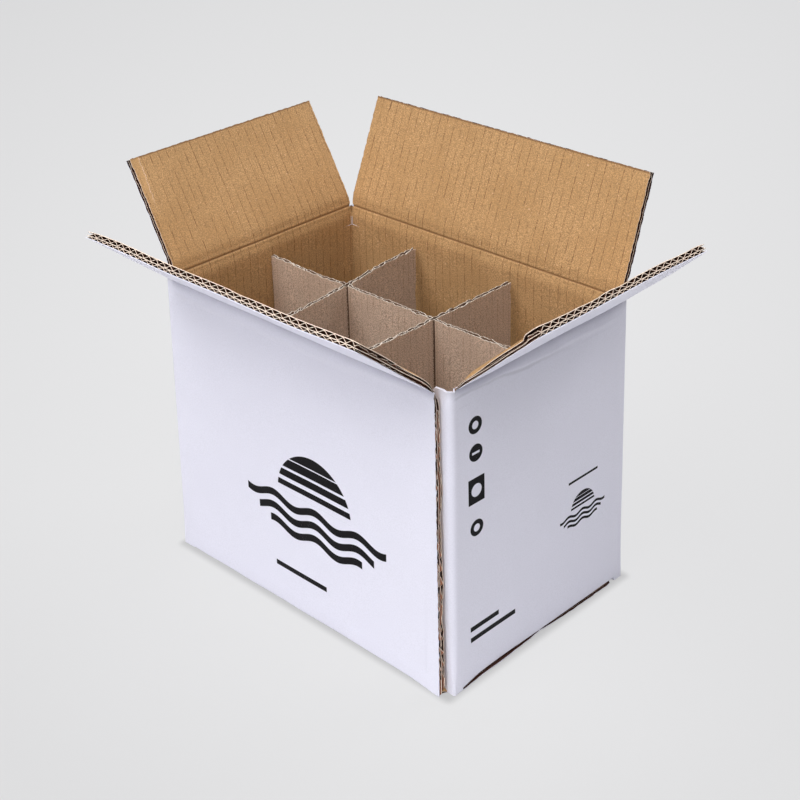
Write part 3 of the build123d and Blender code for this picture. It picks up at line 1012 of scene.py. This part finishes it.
class BuildCase(bpy.types.Operator):
    """Builds the four walls, the upright folds, the glued tab and the raw edge"""

    bl_idname = "shipping_box.build_case"
    bl_label = "Build Case"

    def execute(self, context):
        scene = context.scene
        case, board = scene.box_case, scene.box_board
        walls = make_walls(scene)
        thickness = board_thickness(board)
        columns = case_columns(case, walls, thickness)
        tops = case.crease - case.band
        run = columns[:, 6]
        levels = self.row_levels(case, walls["front"], columns, tops, thickness)
        crushed = 1.0 - 0.7 * smooth_ramp((levels - case.crease + 11 * MM) / (9 * MM))
        sheets = [self.wrap(walls, columns, levels, inset * crushed) for inset in (0.0, thickness)]
        middle_run = (run[:-1] + run[1:])[:, None] / 2
        middle_level = (levels[:-1, :-1] + levels[1:, 1:]) / 2
        keep = np.ones(middle_level.shape, bool)
        for wall in walls.values():
            on_wall = (middle_run > wall.run + wall.first) & (middle_run < wall.run + wall.last)
            keep &= ~(on_wall & ((middle_level > tops) | (middle_level < case.foot)))
        piece = Piece()
        uv = np.stack(np.broadcast_arrays(run[:, None], levels - case.crease), -1)
        piece.add_sheet(sheets[0], sheets[1], uv, (0, 1, 0, 0), keep)
        self.add_raw_edge(piece, walls["front"], case, board)
        walls_piece = piece.build("case_walls", papers(CASE_PAPERS))
        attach(walls_piece, "case")
        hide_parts("case_body")
        return {"FINISHED"}

    def row_levels(self, case, front, columns, tops, thickness):
        """Heights of the points of every column, with the tab's drawn together at its ends.

        Where the front wall hides the tab, it stops above the bottom flaps and below the crease,
        and its ends slant.
        """
        levels = merged(
            spaced(case.corner_lift, case.foot, 2.5 * MM),
            spaced(case.foot, tops - 20 * MM, 9 * MM),
            spaced(tops - 20 * MM, tops, 2 * MM),
            spaced(tops, case.crease - case.corner_top, 2 * MM),
        )
        low, high = levels[0], levels[-1]
        hidden = np.maximum(front.last - 10 * MM - columns[:, 0], 0.0)[:, None]
        slant = hidden * math.tan(case.tab_slope)
        tucked = smooth_ramp(hidden / (6 * MM))
        tab_low = low + (2 * thickness + 4 * MM) * tucked + slant
        tab_high = high - 8 * MM * tucked - slant
        on_tab = columns[:, 6:7] < -case.near_corner
        share = (levels - low) / (high - low)
        return np.where(on_tab, tab_low + (tab_high - tab_low) * share, levels)

    def wrap(self, walls, columns, levels, inset):
        """Points of one face of the sheet, each column at its place on its bulging wall."""
        share = np.minimum(inset / (5 * MM), 1.0)
        columns = columns[:, :, None]
        sharpening = walls["front"].wear.sharpening * bell(levels / (22 * MM))
        radius = np.maximum(columns[:, 7] * (1 - sharpening) - inset, SHARPEST)
        left, right, front = (
            walls[side].distance(levels) - inset for side in ("left", "right", "front")
        )
        half_x = np.where(columns[:, 1] < 0, left, right)
        x = columns[:, 0] + columns[:, 1] * half_x - columns[:, 2] * radius
        y = columns[:, 3] + columns[:, 4] * front - columns[:, 5] * radius
        points = np.stack([x, y, levels], -1)
        ragged = 0.5 * MM * ripple(columns[:, 6, 0], 0.0, 3 * MM, 77)
        points[:, -1, 2] += ragged
        points[:, 0, 2] += np.abs(ragged)
        level = points[..., 2] - walls["front"].crease
        for wall in walls.values():
            across = columns[:, 6] - wall.run
            on_wall = np.abs(across) < wall.half - 1 * MM
            lift = wall.swell(across, levels)
            lift = lift + wall.pinch(across, level) * (1 - share)
            points += np.where(on_wall, lift, 0.0)[..., None] * wall.outward
        return walls["front"].spread_toe(points)

    def add_raw_edge(self, piece, front, case, board):
        """The last stretch of the front wall, sheet by sheet, so its cut side shows every paper.

        Over its last 6 mm the board is crushed by about 5 to 19 percent, more towards the inside,
        and the sheets shift.
        """
        last, thickness = front.last, board_thickness(board)

        def place(across, along, depth, number):
            level = along + case.crease
            open_share = smooth_ramp((across - last + 6 * MM) / (6 * MM))
            share = 0.5 - depth / thickness
            crushed = 0.05 + 0.07 * (1 + ripple(level, 0.0, 70 * MM, 311))
            shift = MM * (
                0.7 * ripple(level, 0.0, 34 * MM, 300) + 0.3 * ripple(level, 0.0, 8 * MM, 301)
            )
            depth = depth + open_share * share * (crushed * thickness + shift)
            out = front.distance(level) - front.half_board + depth + front.swell(across, level)
            out = out + (1 - share) * (front.pinch(across, along) - 0.2 * MM * open_share)
            return front.place(out, across + front.drift(across, level), level)

        along = merged(
            spaced(case.foot - case.crease, -case.band - 22 * MM, 1.2 * MM),
            spaced(-case.band - 22 * MM, -case.band, 1.1 * MM),
        )
        add_board(
            piece, place, double_wall(board), (last - case.raw_strip, last), along, board.web,
            board.ragged, (None, 0.25 * board.open_side), front.run, 400, torn=0.0,
        )


class BuildBottom(bpy.types.Operator):
    """Builds the bottom folds and the four closed bottom flaps"""

    bl_idname = "shipping_box.build_bottom"
    bl_label = "Build Bottom"

    def execute(self, context):
        scene = context.scene
        case, board = scene.box_case, scene.box_board
        walls = make_walls(scene)
        piece = Piece()
        for wall in walls.values():
            self.add_flap(piece, wall, case, board, walls)
        bottom = piece.build("case_bottom", papers(CASE_PAPERS))
        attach(bottom, "case")
        return {"FINISHED"}

    def add_flap(self, piece, wall, case, board, walls):
        """A bottom flap with its fold.

        The sheet runs down the wall, turns through a quarter circle and runs in to the seam. A face
        at inset d from the outside turns with radius fold - d, or SHARPEST where that is less. The
        ends of the long flaps are pressed thin below the end walls, and only their outer liner has
        fine rows. The end flaps rise to lie on the long ones.
        """
        thickness = board_thickness(board)
        foot = wall.distance(0.0)
        length = (foot - case.seam / 2) if wall.is_long else case.end_flap
        straight = case.foot - case.fold
        arc = case.fold * TAU / 4
        rest = straight + arc
        fine, coarse = (
            merged(
                spaced(0.0, straight, step),
                straight + spaced(0.0, arc, arc / turns),
                rest + spaced(0.0, 30 * MM, near),
                rest + spaced(30 * MM, length - case.fold, far),
            )
            for step, turns, near, far in (
                (3.5 * MM, 7, 2.5 * MM, 6 * MM), (4.2 * MM, 6, 7.5 * MM, 16 * MM)
            )
        )
        end_wall = walls["right"]

        def place(across, travel, depth, number):
            inset = wall.half_board - depth
            below = smooth_ramp((travel - straight) / arc)
            inward = np.maximum(travel - rest, 0.0)
            if wall.is_long:
                y = (case.fold + inward - foot) * -wall.outward[1]
                side = np.sign(across)
                edge = np.where(side > 0, wall.last, -wall.first)
                beyond = np.maximum(np.abs(across) - edge, 0.0)
                kept = 0.05 + 0.95 * smooth_ramp((inward - 4.5 * MM) / (9 * MM))
                lip_middle, lip_width = -42 * MM, 26 * MM
                lip = bell((y - lip_middle) / lip_width) * smooth_ramp(beyond / (4 * MM))
                lip = lip * (number == 0)
                flare = case.end_flare * lip
                inset = inset * (1 + 0.9 * lip)
                across = across - side * (beyond * (1 - kept) - flare)
                room = np.maximum(end_wall.sole(y) - 0.35 * MM, 0.6 * MM) / thickness
                pressed = below * smooth_ramp((np.abs(across) - edge + 3 * MM) / (6 * MM))
                if number > 0:
                    inset = inset * (1 - pressed * (1 - np.minimum(room, 1.0)))
                floor = 0.5 * flare
            else:
                floor = wall.sole(across)
                raised = thickness + 0.3 * MM - floor
                floor = floor + raised * smooth_ramp(inward / (24 * MM))
            radius = np.maximum(case.fold - inset, SHARPEST)
            turn = np.clip((travel - straight) / case.fold, 0.0, TAU / 4)
            drop = case.foot - floor - (case.foot - floor - case.fold) * travel / straight
            bend = inset + radius * (1 - np.sin(turn))
            level = floor + np.where(travel < straight, np.maximum(drop, inset + radius), bend)
            out = wall.distance(level) - inset - radius * (1 - np.cos(turn))
            out = np.where(
                inward > 0, np.minimum(foot - case.fold - inward, foot - inset - radius), out
            )
            out = out + wall.swell(across, level) * (1 - smooth_ramp(inward / (40 * MM)))
            across = across + wall.drift(across, level) * (1 - below)
            if wall.is_long:
                level = level + wall.wear.bottom_bow * self.bow(out, travel, rest)
            return wall.place(out, across, level)

        fold_middle = straight + arc * 0.5

        def keep(across, travel):
            return (travel > fold_middle) | ((across > wall.first) & (across < wall.last))

        layers = double_wall(board)
        if wall.is_long:
            ends = [walls[side].distance(0.0) for side in ("left", "right")]
            first, last = -ends[wall.side == "back"], ends[wall.side == "front"]
            recess = 1.4 * MM
            inner = [(*layer, (*slots[:2], 2, 4)) for *layer, slots in layers[1:]]
            parts = (
                ((first, last), layers[:1], fine),
                ((first + recess, last - recess), inner, coarse),
            )
        else:
            parts = (((wall.first, wall.last), layers, coarse),)
        for number, (span, sheets, along) in enumerate(parts):
            add_board(
                piece, place, sheets, span, along, board.web, board.ragged,
                (board.open_side, board.open_side), wall.run, 500 + wall.seed + number, keep=keep,
                cuts=(wall.first, wall.last), step=3.5 * MM, first_number=number,
                start=case.foot - case.crease, facets=6,
            )

    def bow(self, out, travel, start):
        """Lift of a long bottom flap: 0 where it touches the floor, and 1 at the seam."""
        touch = 48 * MM
        lift = np.square(np.clip((touch - out) / touch, 0.0, 1.0))
        return lift * smooth_ramp((travel - start) / (20 * MM))


class BuildFlaps(bpy.types.Operator):
    """Builds the four top flaps with their creases"""

    bl_idname = "shipping_box.build_flaps"
    bl_label = "Build Flaps"

    def execute(self, context):
        scene = context.scene
        walls = make_walls(scene)
        for wall in walls.values():
            self.build_flap(wall, scene.box_case, scene.box_board)
        return {"FINISHED"}

    def build_flap(self, wall, case, board):
        """One flap, from below its crease to its free edge, bent at its crease.

        The board is squashed at the crease, at its sides and where its free edge is dented, and
        pressed flat at the end near the glued corner, if it has one. The rear flaps' ends splay.
        """
        wear, thickness = wall.wear, board_thickness(board)
        glued_ends = {"front": (wall.last, 0.0), "right": (wall.first, wear.glued_press)}
        near, press = glued_ends.get(wall.side, (None, 0.0))
        splays = {"left": (0.5, 0.0), "back": (1.0, 0.5)}.get(wall.side, (0.0, 0.0))

        def place(across, travel, depth, number):
            share = 0.5 - depth / thickness
            gaps = across - wall.first, wall.last - across
            low, high = (
                splay * smooth_ramp(1 - gap / (40 * MM)) for splay, gap in zip(splays, gaps)
            )
            rise = (1 - travel / wall.height) * smooth_ramp((travel + 2 * MM) / (5 * MM))
            across = across + wall.splay * rise * (high - low)
            squash = 1 - wear.crush * bell(travel / (5.5 * MM)) - 0.12 * bell(travel / (0.9 * MM))
            squash = squash * (1.0 - wear.dents * bell(np.minimum(*gaps) / (5 * MM)))
            edge = smooth_ramp((travel - wall.height + 14 * MM) / (14 * MM))
            dented = np.clip(ripple(across, 0.0, 34 * MM, wall.seed + 4), 0.0, 1.0)
            squash = squash * (1.0 - wear.dents * edge * dented)
            slack = 0.0
            if near is not None:
                side = bell((across - near) / (9 * MM))
                reach = np.where(travel > 0, 15 * MM, 9 * MM)
                pressed = press * smooth_ramp((84 * MM - travel) / (6 * MM))
                pressed = np.maximum(pressed, wear.glued_crush * bell(travel / reach))
                squash = squash * (1.0 - side * pressed)
                loose = 0.3 + 0.8 * ripple(travel, number * 0.02, 55 * MM, wall.seed + 90)
                slack = MM * loose * share * side * smooth_ramp(travel / (14 * MM))
            inset = share * thickness * squash + slack
            inset = inset - (1 - share) * wall.pinch(across, travel)
            return wall.fold(across, travel, wall.half_board - inset)

        rows, close_rows = (
            merged(
                spaced(-case.band, -4 * MM, 1.5 * MM),
                spaced(-4 * MM, 4 * MM, 0.5 * MM),
                spaced(4 * MM, 12 * MM, 2.0 * MM),
                spaced(12 * MM, wall.height - 1.2 * MM, step),
                np.array([wall.height]),
            )
            for step in (7 * MM, 1.1 * MM)
        )
        strip = 6 * MM
        piece = Piece()
        for first, last, along, ends in (
            (wall.first, wall.first + strip, close_rows, (board.open_side, None)),
            (wall.first + strip, wall.last - strip, rows, (None, None)),
            (wall.last - strip, wall.last, close_rows, (None, board.open_side)),
        ):
            is_raw = wall.side == "front" and last == wall.last
            add_board(
                piece, place, double_wall(board), (first, last), along, board.web, board.ragged,
                ends, wall.run, 600 + wall.seed, whole_below=-1.0 if is_raw else 0.5 * MM,
            )
        flap = piece.build(wall.side + "_flap_board", papers(CASE_PAPERS))
        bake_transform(flap)
        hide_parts(wall.node)


DIVIDERS = ("divider_long", "divider_cross_left", "divider_cross_right")


class BuildPartition(bpy.types.Operator):
    """Builds the three dividers of the partition"""

    bl_idname = "shipping_box.build_partition"
    bl_label = "Build Partition"

    def execute(self, context):
        partition = context.scene.box_partition
        for number, node in enumerate(DIVIDERS):
            self.build_divider(partition, node, 700 + 100 * number)
        return {"FINISHED"}

    def measure(self, node):
        """A divider's middle, its direction and length in plan, and its lowest and highest level.

        The direction is the first principal axis of its packed solid's points in plan.
        """
        mesh = frame["nodes"][node].data
        points = np.empty(len(mesh.vertices) * 3)
        mesh.vertices.foreach_get("co", points)
        points = points.reshape(-1, 3)
        middle = (points.min(0) + points.max(0)) / 2
        flat = points[:, :2] - middle[:2]
        direction = np.linalg.svd(flat - flat.mean(0), full_matrices=False)[2][0]
        direction = direction * (1 if direction[np.argmax(np.abs(direction))] > 0 else -1)
        low, high = points[:, 2].min(), points[:, 2].max()
        return middle, np.array([*direction, 0.0]), np.ptp(flat @ direction), low, high

    def build_divider(self, partition, node, seed):
        """An upright divider: single-wall board with half-height slots, bowed a little from flat.

        A slot stands where the line of the other divider crosses this one's. A cross divider's run
        is 0 there, and the long one's starts far from 0, so only cross dividers get the painted
        slot shade.
        """
        middle, right, length, low, high = self.measure(node)
        outward = np.cross(right, UP)
        half_board, half_rise = partition.liner + partition.rise / 2, partition.rise / 2
        half_slot = half_board + partition.slot_play / 2
        is_long = node == DIVIDERS[0]
        halfway = (low + high) / 2
        slots = []
        for other in DIVIDERS[1:] if is_long else DIVIDERS[:1]:
            crossing, heading = self.measure(other)[:2]
            gap = crossing - middle
            slots.append(np.cross(gap, heading)[2] / np.cross(right, heading)[2])
        sheets = [
            ("liner", half_board, half_rise, 0.0, (0, 1, 2, 2)),
            ("flute", half_rise, -half_rise, partition.pitch, (1, 1, 2, 1)),
            ("liner", -half_rise, -half_board, 0.0, (1, 0, 2, 2)),
        ]

        def from_slots(across):
            return np.abs(across[..., None] - np.array(slots))

        def keep(across, level):
            in_slot = (from_slots(across) < half_slot).any(-1)
            return ~(in_slot & ((level > halfway) if is_long else (level < halfway)))

        def place(across, level, depth, number):
            calm = smooth_ramp(from_slots(across) / (30 * MM)).prod(-1)
            bow = partition.warp * calm * ripple(across, level, 170 * MM, seed)
            top = smooth_ramp((level - high + 6 * MM) / (6 * MM))
            flare = 0.14 * MM * top * ripple(across, number * 0.1, 9 * MM, seed + 5)
            if number == 1:
                worn = 0.9 + 0.9 * ripple(across, 0.0, 14 * MM, seed + 6)
                level = level - MM * np.clip(worn, 0.2, 2.0) * (level > high - 2 * MM)
            axes = (across, right), (depth + bow + flare, outward), (level, UP)
            return middle * (1, 1, 0) + sum(value[..., None] * axis for value, axis in axes)

        along = merged(
            spaced(low, high - 14 * MM, 14 * MM),
            spaced(high - 14 * MM, high - 1.0 * MM, 2.5 * MM),
            np.array([high, halfway]),
        )
        piece = Piece()
        cuts = [slot + side * half_slot for slot in slots for side in (-1, 1)]
        add_board(
            piece, place, sheets, (-length / 2, length / 2), along, partition.web,
            partition.ragged, (partition.open_side, partition.open_side),
            0.5 if is_long else -slots[0], seed, keep=keep, cuts=cuts, step=1.0 * MM,
        )
        divider = piece.build(node + "_board", papers(DIVIDER_PAPERS))
        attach(divider, "case")
        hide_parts(node)


def direct_rays(tree):
    """1 where a surface is seen by the camera, in a reflection or through something clear."""
    rays = tree.nodes.new("ShaderNodeLightPath")
    kinds = ("Is Camera Ray", "Is Glossy Ray", "Is Transmission Ray")
    camera, glossy, clear = (Signal(tree, rays.outputs[kind]) for kind in kinds)
    return camera.largest(glossy, clear)


def area_lamp(name, place, width, energy):
    """A soft round lamp aimed at the box."""
    lamp = bpy.data.lights.new(name, "AREA")
    lamp.shape = "DISK"
    lamp.size = width
    lamp.energy = energy
    holder = bpy.data.objects.new(name, lamp)
    holder.location = place
    aim = Vector((0.0, 0.0, 0.1)) - holder.location
    holder.rotation_euler = aim.to_track_quat("-Z", "Y").to_euler()
    bpy.context.scene.collection.objects.link(holder)


class BuildStage(bpy.types.Operator):
    """Builds the floor, the lamps and the camera"""

    bl_idname = "shipping_box.build_stage"
    bl_label = "Build Stage"

    def execute(self, context):
        scene = context.scene
        stage = scene.box_stage
        self.build_floor(scene, stage)
        self.build_world(scene, stage)
        for name, place, width in (
            ("key", (-0.3, -1.4, 2.5), 2.2), ("side", (1.45, -0.6, 2.35), 2.2),
            ("front", (0.5, -2.8, 1.3), 1.8), ("back", (0.3, 2.4, 2.2), 1.8),
        ):
            area_lamp(name, place, width, getattr(stage, name + "_energy"))
        self.build_camera(scene, stage)
        scene.view_settings.view_transform = "Standard"
        return {"FINISHED"}

    def build_floor(self, scene, stage):
        """A wide round floor: rings of points at growing radii, r = edge * t^2.

        What the camera sees of it is an even tone by the share evenness, and the rest is lit, so
        it keeps the box's shadow. The light that it throws back is that of the whole colour. With
        t towards the camera and w across, a painted light falloff lowers its tone evenly with the
        length of (w / (0.29 - 0.21 t), (t + 0.27) / (0.58 - 0.46 t)), from lighter at the box to
        darker far away, and a painted contact shadow darkens it within a centimetre of the box's
        foot.
        """
        edge = 9.0
        radii, turns = np.linspace(0.02, 1.0, 24) ** 2 * edge, np.linspace(0, TAU, 65)[:-1]
        ring, spoke = np.meshgrid(radii, turns)
        points = np.stack([ring * np.cos(spoke), ring * np.sin(spoke), np.zeros(ring.shape)], -1)
        index = np.arange(ring.size).reshape(ring.shape)
        after = np.roll(index, -1, 0)
        faces = np.stack([index[:, :-1], index[:, 1:], after[:, 1:], after[:, :-1]], -1)
        faces = [*faces.reshape(-1, 4).tolist(), index[:, 0].tolist()]
        mesh = bpy.data.meshes.new("floor")
        mesh.from_pydata(points.reshape(-1, 3), [], faces)
        floor = bpy.data.objects.new("floor", mesh)
        scene.collection.objects.link(floor)
        tree, shader, position, _ = new_material("floor")
        seen = direct_rays(tree) * stage.evenness
        dark = (0.0, 0.0, 0.0, 1.0)
        # painted light falloff: the floor's tone is lighter at the box and darker far away
        x, y = split(tree, position)
        near = ((x - y) * math.sqrt(0.5)).smallest(0.8)
        wide = (x + y) * math.sqrt(0.5) / (near * -0.21 + 0.29)
        far = length_of(wide, (near + 0.27) / (near * -0.46 + 0.58)) / 1.5
        tones = shade(stage.floor, 1 + stage.lift), shade(stage.floor, 1 - stage.falloff)
        tone = mixed(tree, far.smallest(1.0), *tones)
        # painted contact shadow: the tone darkens within 9 mm of the box's foot
        gap = length_of(
            (abs(x) - case_high.x - scene.box_case.right_spread).largest(0.0),
            (abs(y) - case_high.y - scene.box_case.long_spread).largest(0.0),
        )
        tone = mixed(tree, gap.ramp(0.0, 9 * MM).flip() * stage.painted_contact_shadow, tone, dark)
        plug(tree, mixed(tree, seen, tone, dark), shader.inputs["Base Color"])
        plug(tree, mixed(tree, seen, dark, tone), shader.inputs["Emission Color"])
        shader.inputs["Emission Strength"].default_value = 1.0
        shader.inputs["Roughness"].default_value = 0.95
        shader.inputs["Specular IOR Level"].default_value = 0.1
        mesh.materials.append(bpy.data.materials["floor"])

    def build_world(self, scene, stage):
        """Even light, and the floor's own colour where the camera looks past the floor."""
        world = bpy.data.worlds.new("sky")
        world.use_nodes = True
        tree = world.node_tree
        tree.nodes.clear()
        mixer = tree.nodes.new("ShaderNodeMixShader")
        plug(tree, direct_rays(tree), mixer.inputs[0])
        tints = ((0.96, 0.98, 1.0, 1.0), stage.sky), (shade(stage.floor), 1.0)
        for slot, (tint, strength) in enumerate(tints, 1):
            light = new_node(tree, "ShaderNodeBackground", Color=tint, Strength=strength)
            tree.links.new(light.socket, mixer.inputs[slot])
        output = tree.nodes.new("ShaderNodeOutputWorld")
        tree.links.new(mixer.outputs[0], output.inputs[0])
        scene.world = world

    def build_camera(self, scene, stage):
        """The camera at its place, turned by azimuth and elevation, then rolled about its sight."""
        turn, tip, roll = stage.camera_turn, stage.camera_tip, stage.camera_roll
        back = Vector(
            (math.sin(turn) * math.cos(tip), -math.cos(turn) * math.cos(tip), math.sin(tip))
        )
        level = Vector((math.cos(turn), math.sin(turn), 0.0))
        upward = back.cross(level)
        right = level * math.cos(roll) + upward * math.sin(roll)
        above = upward * math.cos(roll) - level * math.sin(roll)
        frame_pixels = 800
        data = bpy.data.cameras.new("camera")
        data.sensor_width = 36.0
        data.lens = stage.focal_pixels / frame_pixels * data.sensor_width
        data.shift_y = -stage.raise_pixels / frame_pixels
        camera = bpy.data.objects.new("camera", data)
        camera.matrix_world = Matrix.Translation(stage.camera_place) @ Matrix(
            (right, above, back)
        ).transposed().to_4x4()
        scene.collection.objects.link(camera)
        scene.camera = camera


class ShippingBoxPanel(bpy.types.Panel):
    """Lists the steps that build the box"""

    bl_idname = "VIEW3D_PT_shipping_box"
    bl_label = "Shipping Box"
    bl_space_type = "VIEW_3D"
    bl_region_type = "UI"
    bl_category = "Shipping Box"

    def draw(self, context):
        for step in STEPS:
            self.layout.operator(step.bl_idname)
        for name, kind in GROUPS:
            settings = getattr(context.scene, name)
            box = self.layout.box()
            box.label(text=kind.__doc__)
            for field in kind.__annotations__:
                box.prop(settings, field)


GROUPS = (
    ("box_case", CaseSettings), ("box_board", BoardSettings), ("box_flaps", FlapSettings),
    ("box_wear", WearSettings), ("box_partition", PartitionSettings),
    ("box_finish", FinishSettings), ("box_stage", StageSettings),
)
STEPS = (MakePapers, BuildStage, BuildCase, BuildBottom, BuildFlaps, BuildPartition)


def register():
    for name, kind in GROUPS:
        bpy.utils.register_class(kind)
        setattr(bpy.types.Scene, name, PointerProperty(type=kind))
    for kind in (*STEPS, ShippingBoxPanel):
        bpy.utils.register_class(kind)


def unregister():
    for kind in reversed((*STEPS, ShippingBoxPanel)):
        bpy.utils.unregister_class(kind)
    for name, kind in reversed(GROUPS):
        delattr(bpy.types.Scene, name)
        bpy.utils.unregister_class(kind)


def main():
    register()
    bpy.ops.shipping_box.make_papers()
    bpy.ops.shipping_box.build_stage()
    bpy.ops.shipping_box.build_case()
    bpy.ops.shipping_box.build_bottom()
    bpy.ops.shipping_box.build_flaps()
    bpy.ops.shipping_box.build_partition()


if __name__ == "__main__":
    main()
